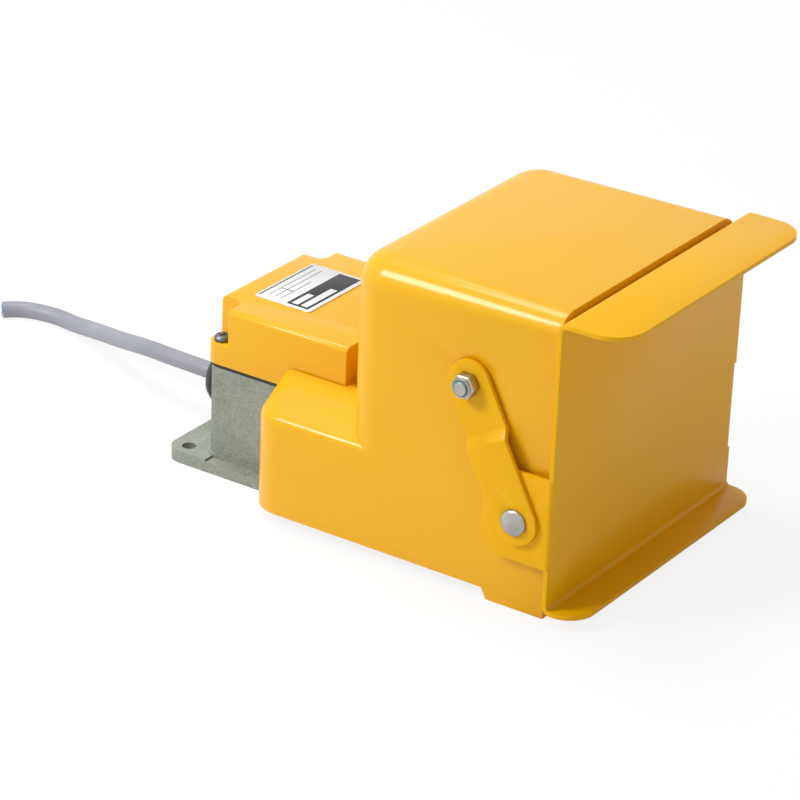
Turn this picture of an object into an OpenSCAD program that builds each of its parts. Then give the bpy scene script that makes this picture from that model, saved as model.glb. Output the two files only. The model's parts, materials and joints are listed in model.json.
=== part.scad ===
// Guarded foot switch with a lift-up front door.
// Millimetres. +Z is up, -Y is the door side where the foot goes in, +Y is the cable side.
// The origin is on the floor, at the centre of the four floor holes.

/* [Floor holes] */
// Distance between the floor holes across the switch
hole_pitch_x = 84; // [80:1:86]
// Distance between the floor holes along the switch
hole_pitch_y = 160; // [156:1:170]
// Diameter of each floor hole
hole_d = 6.6; // [5.5:0.1:7]

/* [Base casting] */
// Width of the base plate
base_w = 98; // [96:1:102]
// Distance from the front holes to the front edge
base_front_lip = 12; // [9:0.5:14]
// Distance from the rear holes to the rear edge
base_rear_lip = 8.7; // [7:0.1:12]
// Thickness of the plate and its side ledges
ledge_t = 5; // [4:0.5:5.5]
// Thickness of the two rear ear pads
ear_t = 6; // [5.5:0.5:8]
// Radius of the plate's corners
base_corner_r = 8; // [5:0.5:10]
// Distance from the rear edge to the switch case
ear_depth = 17.7; // [16:0.1:20]

/* [Switch case] */
// Outer width of the case
case_w = 84; // [82:1:86]
// Outer length of the case
case_len = 87.5; // [84:0.5:92]
// Height of the case rim above the floor
case_h = 49.5; // [48:0.5:54]
// Wall of the case
case_wall = 4; // [3:0.5:4.5]
// Radius of the case's upright corners
case_corner_r = 6; // [5:0.5:7]
// Thickness of the rubber gasket
gasket_t = 1.5; // [1:0.5:2]

/* [Case cover] */
// How far the cover stands out past the case on each side
cover_over = 0.5; // [0.3:0.1:0.7]
// Height of the cover
cover_h = 28; // [26:0.5:32]
// Wall of the cover
cover_wall = 3; // [2.5:0.5:3.5]
// Side of the screw pocket at each corner
pocket_side = 12.6; // [12:0.1:14]
// Height of the pocket floor above the gasket
pocket_floor = 10; // [8:0.5:12]
// Distance of the rating plate behind the cover's middle
plate_back = 17.4; // [15:0.2:20]
// Half width of the sloping scoop in the cover's top
scoop_half_w = 23; // [20:0.5:26]
// Length of the scoop, back from the front face
scoop_len = 36; // [30:1:44]
// Depth of the scoop at the front face
scoop_depth = 8; // [5:0.5:9]
// Length of the rating plate across the cover
plate_len = 45; // [40:0.5:54]
// Width of the rating plate along the cover
plate_w = 30; // [24:0.5:32]

/* [Hood] */
// Outer width of the hood
hood_w = 143; // [139:1:150]
// Height of the hood's top
hood_h = 139; // [132:1:150]
// Length of the tall part of the hood
hood_len = 106.5; // [102:0.5:115]
// Wall of the hood
hood_wall = 4; // [3:0.5:4.5]
// Length of the low shoulders beside the case
shoulder_len = 49; // [44:0.5:53]
// Height of the shoulder's outer edge
shoulder_edge_z = 52.6; // [50:0.2:56]
// Height of the shoulder beside the case
shoulder_top_z = 61.3; // [58:0.1:64]
// Gap between the hood and the case
hood_case_gap = 5; // [4.5:0.5:6]
// Height of the hood's lower edge above the floor
hood_ground = 5; // [4:0.5:5.5]
// Radius of the top side edges
hood_side_r = 10.5; // [8:0.5:12]
// Radius of the rear top edge
hood_back_r = 14; // [12:0.5:15]
// Radius of the tall part's rear upright corners
hood_corner_r = 18; // [16:0.5:20]
// Radius of the shoulders' rear upright corners
shoulder_corner_r = 16; // [14:0.5:18]

/* [Door] */
// Gap between each door wing and the hood's side
wing_gap = 2.4; // [1.6:0.1:3]
// Thickness of the door sheet
sheet_t = 2; // [1.5:0.5:2.5]
// Gap between the door and the hood's front edge
door_gap = 2; // [1.5:0.5:3]
// Depth of the top flange
top_flange = 30; // [22:1:36]
// Depth of the toe flange at the bottom
toe_flange = 16; // [12:1:22]
// Height of the door's lower edge above the floor
door_ground = 5; // [4:0.5:8]
// Depth of each side wing
wing_depth = 32; // [28:1:34]
// How far the wing reaches above its rivet
wing_above = 22.5; // [18:0.5:24]
// How far the wing reaches below its rivet
wing_below = 19; // [15:0.5:22]

/* [Link arms] */
// Width of each link arm
arm_w = 21; // [19:0.5:22]
// Distance of the upper pivot from the hood's front edge
pivot_back = 40.5; // [38:0.5:44]
// Height of the upper pivot
pivot_z = 98.7; // [96:0.1:102]
// Distance of the rivet from the door's inner face
rivet_back = 14.5; // [13:0.5:16]
// Height of the rivet
rivet_z = 44.5; // [42:0.5:46]
// Diameter of the pivot bolts
bolt_d = 6; // [5:0.5:7]
// Diameter of the door rivets
rivet_d = 8; // [6:0.5:8]
// Distance from the upper pivot to the joggle
joggle_at = 22.4; // [20:0.2:24]
// Length of the joggle's slope
joggle_len = 4.3; // [3.5:0.1:6]

/* [Pedal] */
// Width of the pedal plate
pedal_w = 70; // [64:1:70]
// Length of the pedal plate
pedal_len = 65.5; // [60:0.5:67]
// Thickness of the pedal plate
pedal_t = 6; // [5:0.5:7]
// Height of the plate's underside when pressed down
pedal_low_z = 9; // [8.5:0.5:11]
// Travel of the pedal in degrees
pedal_travel = 12; // [10:0.5:12]
// Height of the shaft above the floor
shaft_z = 26; // [24:0.5:28]
// Distance of the shaft behind the case's front face
shaft_back = 26.5; // [25:0.5:28]
// Diameter of the shaft
shaft_d = 10; // [8:0.5:10]
// Thickness of the pedal's side arms
pedal_arm_t = 6; // [5:0.5:6]
// Thickness of the rubber mat
mat_t = 3; // [2:0.5:4]

/* [Switch] */
// Length of the snap-action switch
switch_len = 49; // [47:0.5:50]
// Width of the snap-action switch
switch_w = 17.5; // [15:0.5:18]
// Height of the snap-action switch
switch_h = 24; // [22:0.5:25]
// Height of the switch's underside above the floor
switch_z = 40; // [39:0.5:41]
// Distance of the plunger behind the shaft
plunger_back = 15; // [14:0.5:16]
// Diameter of the plunger
plunger_d = 6; // [5:0.5:7]
// Height of the return spring
spring_h = 18; // [16:0.5:19]
// Outer diameter of the return spring
spring_d = 14; // [12:0.5:15]

/* [Cable] */
// Diameter of the cable
cable_d = 8; // [7:0.5:8]
// Height of the gland above the floor
gland_z = 22.4; // [22:0.2:24]
// Length of the gland outside the case
gland_len = 25; // [25:0.5:25.5]
// Diameter of the gland's collar
gland_d = 27; // [24:0.5:28]

/* [Hidden] */

$fn = 64;
// Facets used for each blended casting corner
blend_fn = 32;
// Small overlap that keeps cuts clean
cut = 1;
// Radial clearance of a running fit
run = 0.05;
// Clearance between flat faces that slide past each other
slide_gap = 0.1;

base_front_y = -hole_pitch_y / 2 - base_front_lip;
base_rear_y = hole_pitch_y / 2 + base_rear_lip;
case_rear_y = base_rear_y - ear_depth;
case_front_y = case_rear_y - case_len;
case_mid_y = (case_front_y + case_rear_y) / 2;
cover_z = case_h + gasket_t;
cover_top_z = cover_z + cover_h;
cover_w = case_w + 2 * cover_over;
cover_len = case_len + 1 + cover_over;
cover_mid_y = case_mid_y + 0.25;
cover_screw_d = 4;
cover_screw_x = case_w / 2 - 5;
cover_screw_front_y = case_front_y + 5.5;
cover_screw_rear_y = case_rear_y - 5;

hood_rear_y = case_front_y - hood_case_gap;
hood_front_y = hood_rear_y - hood_len;
hood_tail_y = hood_rear_y + shoulder_len;
hood_slot_half = cover_w / 2 + 1;
hood_in = hood_w / 2 - hood_wall;
foot_len = 31;

door_w = hood_w + 2 * (wing_gap + sheet_t);
door_in_y = hood_front_y - door_gap;
door_out_y = door_in_y - sheet_t;
bend_r = 2;
wing_corner_r = 10;

washer_t = 0.8;
pivot_y = hood_front_y + pivot_back;
rivet_y = door_in_y + rivet_back;
arm_len = sqrt(pow(pivot_y - rivet_y, 2) + pow(pivot_z - rivet_z, 2));
arm_angle = atan2(pivot_y - rivet_y, pivot_z - rivet_z);
arm_inner_x = hood_w / 2 + washer_t + slide_gap;
arm_outer_x = door_w / 2 + 2 * slide_gap;
nut_x = arm_inner_x + sheet_t + slide_gap;
nut_af = bolt_d * 10 / 6;
nut_t = bolt_d;
bolt_head_t = bolt_d * 2 / 3;

shaft_y = case_front_y + shaft_back;
bush_r = shaft_d / 2 + 2;
boss_depth = 12;
pedal_arm_x = case_w / 2 + 2;
shaft_half = pedal_arm_x + pedal_arm_t + 4;
pedal_rear_y = case_front_y - 4.5;
pedal_front_y = pedal_rear_y - pedal_len;
pedal_top_z = pedal_low_z + pedal_t;
mat_recess = 1.5;

plunger_y = shaft_y + plunger_back;
plunger_out = 3;
plunger_gap = 0.3;
pad_r = 3;
pad_z = switch_z - plunger_out - plunger_gap - pad_r;
switch_front_y = plunger_y - 19;
switch_hole_pitch = 25.4;
bracket_x = switch_w / 2;
bush_flange_t = 1.5;
spring_x = case_w / 2 - boss_depth - bush_flange_t - 0.5 - 6;
spring_y = shaft_y + 22;
earth_x = -24;
earth_y = case_rear_y - 18;
spring_foot_z = shaft_z + 4;
wire_d = 1.4;

gland_bore = cable_d + 2 * run;
gland_end_y = case_rear_y + gland_len;

// The cable's free route over the floor, from the gland's end to its cut end
cord_route = [
    [0, 96, 22.4], [0, 102, 22.4], [3, 122, 21], [9, 143, 18], [17, 165, 13], [26, 186, 8],
    [32, 204, 4.4], [34, 218, 4], [32, 231, 4], [28.6, 238, 4], [23.8, 242.9, 4]
];

// ---------- shared shapes ----------

// A rectangle with four rounded corners, centred
module rounded_rect(x, y, r) {
    square([x - 2 * r, y], center = true);
    square([x, y - 2 * r], center = true);
    for (sx = [-1, 1], sy = [-1, 1])
        translate([sx * (x / 2 - r), sy * (y / 2 - r)])
            circle(r);
}

// A rounded bar from y0 to y1, with its own radius at each end
module plan_bar(w, y0, y1, r) {
    translate([0, (y0 + y1) / 2])
        rounded_rect(w, y1 - y0, r);
}

// Turns a drawing made in Y and Z into a slab along X, centred
module across(width) {
    rotate([90, 0, 90])
        linear_extrude(width, center = true)
            children();
}

// A round bar along X between two X positions
module bar_x(x0, x1, d, y = 0, z = 0) {
    translate([min(x0, x1), y, z])
        rotate([0, 90, 0])
            cylinder(h = abs(x1 - x0), d = d);
}

// A round bar along Y between two Y positions
module bar_y(y0, y1, d, x = 0, z = 0) {
    translate([x, y1, z])
        rotate([90, 0, 0])
            cylinder(h = y1 - y0, d = d);
}

// The same piece on the left and on the right
module both_sides() {
    children();
    mirror([1, 0, 0])
        children();
}

// A hexagonal prism along +Z, by its width across flats
module hex(af, h) {
    cylinder(h = h, d = af / cos(30), $fn = 6);
}

// A pan-head screw with a cross recess, its head's underside at z = 0
module pan_screw(d, length) {
    difference() {
        union() {
            cylinder(h = d * 0.35, r = d);
            translate([0, 0, d * 0.35])
                cylinder(h = d * 0.3, r1 = d, r2 = d * 0.75);
            translate([0, 0, -length])
                cylinder(h = length, d = d - 2 * run);
        }
        for (a = [0, 90])
            rotate([0, 0, a])
                translate([-d * 0.55, -d * 0.1, d * 0.3])
                    cube([d * 1.1, d * 0.2, d]);
    }
}

// A tube swept along a list of points; ref is never along the path
module swept(points, d, ref = [0, 0, 1], n = 8) {
    last = len(points) - 1;
    rings = [for (i = [0:last])
        let (ahead = points[min(i + 1, last)] - points[max(i - 1, 0)])
        let (t = ahead / norm(ahead))
        let (s = cross(ref, t))
        let (u = s / norm(s))
        let (v = cross(t, u))
        for (k = [0:n - 1]) points[i] + d / 2 * (cos(360 * k / n) * u + sin(360 * k / n) * v)];
    sides = [for (i = [0:last - 1], k = [0:n - 1], half = [0, 1])
        let (m = (k + 1) % n)
        half == 0 ? [i * n + k, (i + 1) * n + k, (i + 1) * n + m]
                  : [i * n + k, (i + 1) * n + m, i * n + m]];
    ends = [[for (k = [0:n - 1]) k], [for (k = [n - 1:-1:0]) last * n + k]];
    polyhedron(points = rings, faces = concat(sides, ends), convexity = 6);
}

// ---------- base and case ----------

module base_outline() {
    plan_bar(base_w, base_front_y, base_rear_y, base_corner_r);
}

module case_outline(inset = 0) {
    translate([0, case_mid_y])
        rounded_rect(case_w - 2 * inset, case_len - 2 * inset, case_corner_r - inset);
}

module at_cover_screws() {
    for (sx = [-1, 1], y = [cover_screw_front_y, cover_screw_rear_y])
        translate([sx * cover_screw_x, y, 0])
            children();
}

lug_ys = [case_front_y - 43.5, case_front_y - 25.5];
lug_w = 12;
lug_t = 6;
lug_screw_d = 5;
lug_screw_x = base_w / 2 - 4.5;
stop_x = 22;
stop_y = pedal_front_y + 14;
stop_stem_d = 6;

module at_lug_screws() {
    for (sx = [-1, 1], y = lug_ys)
        translate([sx * lug_screw_x, y, 0])
            children();
}

module at_floor_holes() {
    for (sx = [-1, 1], sy = [-1, 1])
        translate([sx * hole_pitch_x / 2, sy * hole_pitch_y / 2, 0])
            children();
}

module at_bracket_screws() {
    for (dy = [-12, 12])
        translate([bracket_x + 8, switch_front_y + switch_len / 2 + dy, 0])
            children();
}

module base_casting() {
    ear_front_y = case_rear_y - 5;
    boss_r = bush_r + 4;
    color([0.56, 0.60, 0.58])
        difference() {
            union() {
                linear_extrude(ledge_t)
                    base_outline();
                // Rear ear pads, a little thicker than the ledges
                difference() {
                    linear_extrude(ear_t)
                        base_outline();
                    translate([-base_w, base_front_y - cut, -cut])
                        cube([2 * base_w, ear_front_y - base_front_y + cut, ear_t + 2 * cut]);
                }
                linear_extrude(case_h)
                    case_outline();
                // Foot of the case, spread a little where it meets the plate
                translate([0, 0, ledge_t])
                    linear_extrude(2)
                        case_outline(-1.2);
            }
            // Inside of the case, with the cover's screw posts and the shaft bosses left standing
            difference() {
                translate([0, 0, ledge_t])
                    linear_extrude(case_h)
                        case_outline(case_wall);
                at_cover_screws()
                    cylinder(h = case_h, r = 5);
                both_sides()
                    bar_x(case_w / 2 - boss_depth, case_w / 2, 2 * boss_r, shaft_y, shaft_z);
                // Two pads that carry the switch bracket
                at_bracket_screws()
                    cylinder(h = ledge_t + 3, r = 5);
            }
            at_bracket_screws()
                translate([0, 0, 2])
                    cylinder(h = case_h, d = 4);
            at_cover_screws()
                translate([0, 0, case_h - 16])
                    cylinder(h = 16 + cut, d = cover_screw_d);
            bar_x(-base_w, base_w, 2 * bush_r, shaft_y, shaft_z);
            bar_y(case_rear_y - case_wall - cut, case_rear_y + 2, 16, 0, gland_z);
            at_floor_holes()
                translate([0, 0, -cut])
                    cylinder(h = ear_t + 2 * cut, d = hole_d);
            at_lug_screws()
                translate([0, 0, -cut])
                    cylinder(h = ledge_t + 2 * cut, d = lug_screw_d);
            for (sx = [-1, 1])
                translate([sx * stop_x, stop_y, -cut])
                    cylinder(h = ledge_t + 2 * cut, d = stop_stem_d);
            // Hole for the earth screw in the case floor
            translate([earth_x, earth_y, 2])
                cylinder(h = case_h, d = 4);
        }
}

module base_gasket() {
    color([0.08, 0.08, 0.08])
        translate([0, 0, case_h])
            linear_extrude(gasket_t)
                difference() {
                    union() {
                        difference() {
                            case_outline(-cover_over + 0.3);
                            case_outline(case_wall - 0.5);
                        }
                        intersection() {
                            case_outline(-cover_over + 0.3);
                            at_cover_screws()
                                circle(5);
                        }
                    }
                    at_cover_screws()
                        circle(d = cover_screw_d + 0.4);
                }
}

// ---------- cover ----------

module cover_outline(inset = 0) {
    translate([0, cover_mid_y])
        rounded_rect(cover_w - 2 * inset, cover_len - 2 * inset, case_corner_r - inset / 2);
}

// Plan of the four corner pockets; each one's inner corner is rounded
module pocket_plan(grow = 0) {
    side = pocket_side + grow;
    r = 5;
    for (sx = [-1, 1], sy = [-1, 1])
        translate([sx * cover_w / 2, cover_mid_y + sy * cover_len / 2])
            union() {
                translate([-sx * (side - r) / 2, -sy * (side - 2 * r) / 2])
                    square([side + r, side], center = true);
                translate([-sx * (side - 2 * r) / 2, -sy * (side - r) / 2])
                    square([side, side + r], center = true);
                translate([-sx * (side - r), -sy * (side - r)])
                    circle(r);
            }
}

module scoop(down = 0) {
    y0 = case_front_y - cover_over;
    slope = scoop_depth / scoop_len;
    for (dummy = [0])
        across(2 * (scoop_half_w + down))
            polygon([
                [y0 - 5, cover_top_z - down - scoop_depth - 5 * slope],
                [y0 + scoop_len, cover_top_z - down],
                [y0 + scoop_len, cover_top_z + 10],
                [y0 - 5, cover_top_z + 10]
            ]);
}

module switch_cover() {
    color([1.0, 0.69, 0.08])
        difference() {
            union() {
                difference() {
                    translate([0, 0, cover_z])
                        linear_extrude(cover_h - 3)
                            cover_outline();
                    translate([0, 0, cover_z + pocket_floor])
                        linear_extrude(cover_h)
                            pocket_plan();
                }
                // Top face, its outer edge rounded over
                translate([0, 0, cover_top_z - 3])
                    difference() {
                        for (step = [0:3])
                            translate([0, 0, 0])
                                linear_extrude(3 * sin(90 * (step + 1) / 4))
                                    cover_outline(3 * (1 - cos(90 * step / 4)));
                        translate([0, 0, -cut])
                            linear_extrude(3 + 2 * cut)
                                pocket_plan();
                    }
            }
            // Inside, following the pockets and the scoop
            difference() {
                translate([0, 0, cover_z - cut])
                    linear_extrude(cover_h - cover_wall + cut)
                        difference() {
                            cover_outline(cover_wall);
                            pocket_plan(cover_wall);
                        }
                scoop(cover_wall);
            }
            scoop();
            at_cover_screws()
                translate([0, 0, cover_z - cut])
                    cylinder(h = cover_h, d = cover_screw_d + 0.6);
        }
}

module cover_screws() {
    color([0.25, 0.25, 0.27])
        at_cover_screws()
            translate([0, 0, cover_z + pocket_floor])
                pan_screw(cover_screw_d, pocket_floor + gasket_t + 12);
}

module rating_plate() {
    plate_y = cover_mid_y + plate_back;
    color([0.85, 0.87, 0.88])
        translate([0, plate_y, cover_top_z])
            linear_extrude(0.6)
                rounded_rect(plate_len, plate_w, 1.5);
}

// ---------- hood ----------

// The tall part as a blended block, cut down by an inset on every side but the front
module tall_block(inset) {
    x = hood_w / 2 - inset;
    top = hood_h - inset;
    rear = hood_rear_y - inset;
    side_r = hood_side_r - inset;
    back_r = hood_back_r - inset;
    corner_r = hood_corner_r - inset;
    hull() {
        for (sx = [-1, 1]) {
            translate([sx * (x - side_r), hood_front_y, top - side_r])
                rotate([-90, 0, 0])
                    cylinder(h = 1, r = side_r, $fn = blend_fn);
            translate([sx * (x - corner_r), rear - corner_r, top - back_r])
                rotate_extrude($fn = blend_fn)
                    translate([corner_r - back_r, 0])
                        intersection() {
                            circle(back_r, $fn = blend_fn);
                            translate([0, -back_r])
                                square([back_r, 2 * back_r]);
                        }
            translate([sx * (x - corner_r), rear - corner_r, 0])
                cylinder(h = 1, r = corner_r, $fn = blend_fn);
            translate([sx * (x - 0.5) - 0.5, hood_front_y, 0])
                cube([1, 1, 1]);
        }
    }
}

// Both low shoulders as one block across the case
module shoulder_block(inset) {
    x = hood_w / 2 - inset;
    rear = hood_tail_y - inset;
    edge_r = 5;
    corner_r = shoulder_corner_r - inset;
    hull() {
        for (sx = [-1, 1]) {
            for (y = [hood_front_y + hood_len / 2, rear - corner_r])
                translate([sx * (x - corner_r), y, shoulder_edge_z - inset - edge_r])
                    rotate_extrude($fn = blend_fn)
                        translate([corner_r - edge_r, 0])
                            intersection() {
                                circle(edge_r, $fn = blend_fn);
                                translate([0, -edge_r])
                                    square([edge_r, 2 * edge_r]);
                            }
            translate([sx * (x - corner_r), rear - corner_r, 0])
                cylinder(h = 1, r = corner_r, $fn = blend_fn);
            translate([sx * (x - 0.5) - 0.5, hood_front_y + hood_len / 2, 0])
                cube([1, 1, 1]);
        }
        for (y = [hood_front_y + hood_len / 2, rear - edge_r])
            translate([-hood_slot_half, y, shoulder_top_z - inset - edge_r])
                rotate([0, 90, 0])
                    cylinder(h = 2 * hood_slot_half, r = edge_r, $fn = blend_fn);
    }
}

module hood() {
    color([1.0, 0.68, 0.06])
        difference() {
            union() {
                difference() {
                    union() {
                        tall_block(0);
                        shoulder_block(0);
                    }
                    // Inside of both parts, open at the front and underneath
                    tall_block(hood_wall);
                    shoulder_block(hood_wall);
                    translate([-hood_in, hood_front_y - cut, -cut])
                        cube([2 * hood_in, 2 * cut, hood_h - hood_wall - hood_side_r]);
                    // Lower edge, raised above the floor behind the two front feet
                    translate([-hood_w, hood_front_y + foot_len, -cut])
                        cube([2 * hood_w, hood_len + shoulder_len, hood_ground + cut]);
                    translate([0, hood_front_y + foot_len, 0])
                        across(2 * hood_w)
                            polygon([[-2.5, -cut], [-2.5, 0], [0, hood_ground], [cut, hood_ground], [cut, -cut]]);
                    // Slot that the switch case and its cover stand in
                    translate([-hood_slot_half, hood_rear_y, -cut])
                        cube([2 * hood_slot_half, shoulder_len + cut, hood_h]);
                    // Way under the tall rear wall for the pedal
                    translate([-hood_slot_half, hood_rear_y - 2 * hood_wall, -cut])
                        cube([2 * hood_slot_half, 3 * hood_wall, case_h - 4 + cut]);
                }
                // Fixing lugs that stand on the base's ledges
                for (sx = [-1, 1], y = lug_ys)
                    translate([sx * (lug_screw_x - 4.5 + hood_in + 1) / 2, y, ledge_t + lug_t / 2])
                        cube([hood_in + 1 - lug_screw_x + 4.5, lug_w, lug_t], center = true);
            }
            at_lug_screws()
                cylinder(h = 4 * lug_t, d = lug_screw_d + 0.5);
            both_sides()
                bar_x(hood_in - cut, hood_w / 2 + cut, bolt_d + 0.2, pivot_y, pivot_z);
        }
}

module hood_screws() {
    color([0.62, 0.63, 0.65])
        at_lug_screws()
            translate([0, 0, ledge_t + lug_t])
                pan_screw(lug_screw_d, ledge_t + lug_t - 0.5);
}

// ---------- pivots ----------

module pivot_bolts() {
    color([0.62, 0.63, 0.65])
        both_sides()
            translate([0, pivot_y, pivot_z]) {
                bar_x(hood_in, nut_x + nut_t + 1, bolt_d);
                translate([hood_in - bolt_head_t, 0, 0])
                    rotate([0, 90, 0])
                        hex(nut_af, bolt_head_t);
            }
}

module pivot_nuts() {
    color([0.62, 0.63, 0.65])
        both_sides()
            translate([nut_x, pivot_y, pivot_z])
                rotate([0, 90, 0])
                    difference() {
                        intersection() {
                            hex(nut_af, nut_t);
                            // Chamfered corners on the outer face
                            union() {
                                cylinder(h = nut_t - 1, r = nut_af * 0.62);
                                translate([0, 0, nut_t - 1])
                                    cylinder(h = 1, r1 = nut_af * 0.62, r2 = nut_af * 0.49);
                            }
                        }
                        translate([0, 0, -cut])
                            cylinder(h = nut_t + 2 * cut, d = bolt_d);
                    }
}

module pivot_washers() {
    color([0.66, 0.67, 0.69])
        both_sides()
            difference() {
                bar_x(hood_w / 2, hood_w / 2 + washer_t, 2 * bolt_d, pivot_y, pivot_z);
                bar_x(hood_w / 2 - cut, hood_w / 2 + 2 * cut, bolt_d + 0.2, pivot_y, pivot_z);
            }
}

// ---------- link arms ----------

// One arm on the +X side, hanging straight down from its upper pivot
module arm_straight() {
    low_end = arm_len + arm_w;
    step_end = joggle_at + joggle_len;
    // Outside the joggle's slope, measured square to it
    lift = sheet_t * tan(atan2(arm_outer_x - arm_inner_x, joggle_len) / 2);
    difference() {
        intersection() {
            rotate([90, 0, 0])
                linear_extrude(arm_w + 2, center = true)
                    polygon([
                        [arm_inner_x, arm_w], [arm_inner_x, -joggle_at], [arm_outer_x, -step_end],
                        [arm_outer_x, -low_end], [arm_outer_x + sheet_t, -low_end],
                        [arm_outer_x + sheet_t, -step_end + lift],
                        [arm_inner_x + sheet_t, -joggle_at + lift], [arm_inner_x + sheet_t, arm_w]
                    ]);
            translate([door_w / 2, 0, 0])
                across(20)
                    union() {
                        circle(d = arm_w);
                        translate([-arm_w / 2, -arm_len])
                            square([arm_w, arm_len]);
                        translate([0, -arm_len])
                            circle(d = arm_w);
                    }
        }
        bar_x(hood_in, door_w / 2 + 20, bolt_d + 2 * run);
        bar_x(hood_in, door_w / 2 + 20, rivet_d + 2 * run, 0, -arm_len);
    }
}

module arm_right_side() {
    translate([0, pivot_y, pivot_z])
        rotate([-arm_angle, 0, 0])
            arm_straight();
}

module link_arm_right() {
    color([1.0, 0.66, 0.05])
        arm_right_side();
}

module link_arm_left() {
    color([1.0, 0.66, 0.05])
        mirror([1, 0, 0])
            arm_right_side();
}

// ---------- door ----------

// Side view of the bent sheet: panel with its top and toe flanges
module door_profile() {
    inner_r = bend_r;
    outer_r = bend_r + sheet_t;
    translate([door_out_y, door_ground + outer_r])
        square([sheet_t, hood_h - door_ground - 2 * outer_r]);
    translate([door_out_y - top_flange, hood_h - sheet_t])
        square([top_flange + sheet_t - outer_r, sheet_t]);
    translate([door_out_y - toe_flange, door_ground])
        square([toe_flange + sheet_t - outer_r, sheet_t]);
    for (top = [0, 1])
        translate([door_in_y - outer_r, top ? hood_h - outer_r : door_ground + outer_r])
            intersection() {
                difference() {
                    circle(outer_r);
                    circle(inner_r);
                }
                translate([0, top ? 0 : -outer_r])
                    square(outer_r);
            }
}

// Plan of a flange with two rounded front corners
module flange_plan(depth, r) {
    front = door_out_y - depth;
    difference() {
        translate([-door_w / 2, front])
            square([door_w, depth + 3 * sheet_t]);
        for (sx = [-1, 1])
            translate([sx * door_w / 2, front])
                difference() {
                    square(2 * r, center = true);
                    translate([-sx * r, r])
                        circle(r);
                }
    }
}

module door_panel() {
    low = rivet_z - wing_below;
    high = rivet_z + wing_above;
    mid = (low + high) / 2;
    wing_end_y = door_in_y + wing_depth;
    color([0.95, 0.62, 0.05])
        difference() {
            union() {
                difference() {
                    across(door_w)
                        door_profile();
                    for (sx = [-1, 1])
                        translate([sx * door_w / 2, door_out_y, mid])
                            difference() {
                                cube([4, 4, high - low], center = true);
                                translate([-sx * 2, 2, 0])
                                    cylinder(h = high, r = 2, center = true);
                            }
                }
                // Side wings, folded back beside the hood
                both_sides()
                    translate([door_w / 2 - sheet_t / 2, 0, 0])
                        across(sheet_t)
                            difference() {
                                translate([door_out_y + sheet_t / 2 + 1, low])
                                    square([wing_end_y - door_out_y - sheet_t / 2 - 1, high - low]);
                                for (z = [low, high])
                                    translate([wing_end_y, z])
                                        difference() {
                                            square(2 * wing_corner_r, center = true);
                                            translate([-wing_corner_r, z == low ? wing_corner_r : -wing_corner_r])
                                                circle(wing_corner_r);
                                        }
                            }
            }
            // Rounded front corners of the two flanges
            difference() {
                translate([-door_w, door_out_y - top_flange - cut, hood_h - 2 * sheet_t])
                    cube([2 * door_w, top_flange, 3 * sheet_t]);
                translate([0, 0, hood_h - 3 * sheet_t])
                    linear_extrude(5 * sheet_t)
                        flange_plan(top_flange, 15);
            }
            difference() {
                translate([-door_w, door_out_y - toe_flange - cut, 0])
                    cube([2 * door_w, toe_flange, door_ground + 2 * sheet_t]);
                translate([0, 0, -cut])
                    linear_extrude(door_ground + 3 * sheet_t)
                        flange_plan(toe_flange, 13);
            }
            bar_x(-door_w, door_w, rivet_d, rivet_y, rivet_z);
        }
}

module door_rivets() {
    head_x = arm_outer_x + sheet_t + slide_gap;
    color([0.62, 0.63, 0.65])
        both_sides()
            translate([0, rivet_y, rivet_z]) {
                bar_x(door_w / 2 - sheet_t, head_x, rivet_d);
                translate([head_x, 0, 0])
                    rotate([0, 90, 0]) {
                        cylinder(h = 1.2, d = rivet_d + 4);
                        translate([0, 0, 1.2])
                            cylinder(h = 0.8, d1 = rivet_d + 4, d2 = rivet_d + 2);
                    }
                bar_x(door_w / 2 - sheet_t - 1, door_w / 2 - sheet_t, rivet_d + 3);
            }
}

// ---------- pedal ----------

// Turns what is drawn with the pedal pressed down into its raised rest position
module raised() {
    translate([0, shaft_y, shaft_z])
        rotate([-pedal_travel, 0, 0])
            translate([0, -shaft_y, -shaft_z])
                children();
}

module pedal_plan(inset = 0) {
    translate([0, (pedal_front_y + pedal_rear_y) / 2])
        rounded_rect(pedal_w - 2 * inset, pedal_len - 2 * inset, 9 - inset);
}

module at_mat_screws() {
    for (sx = [-1, 1], y = [pedal_front_y + 10, pedal_rear_y - 12])
        translate([sx * (pedal_w / 2 - 9), y, 0])
            children();
}

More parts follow.
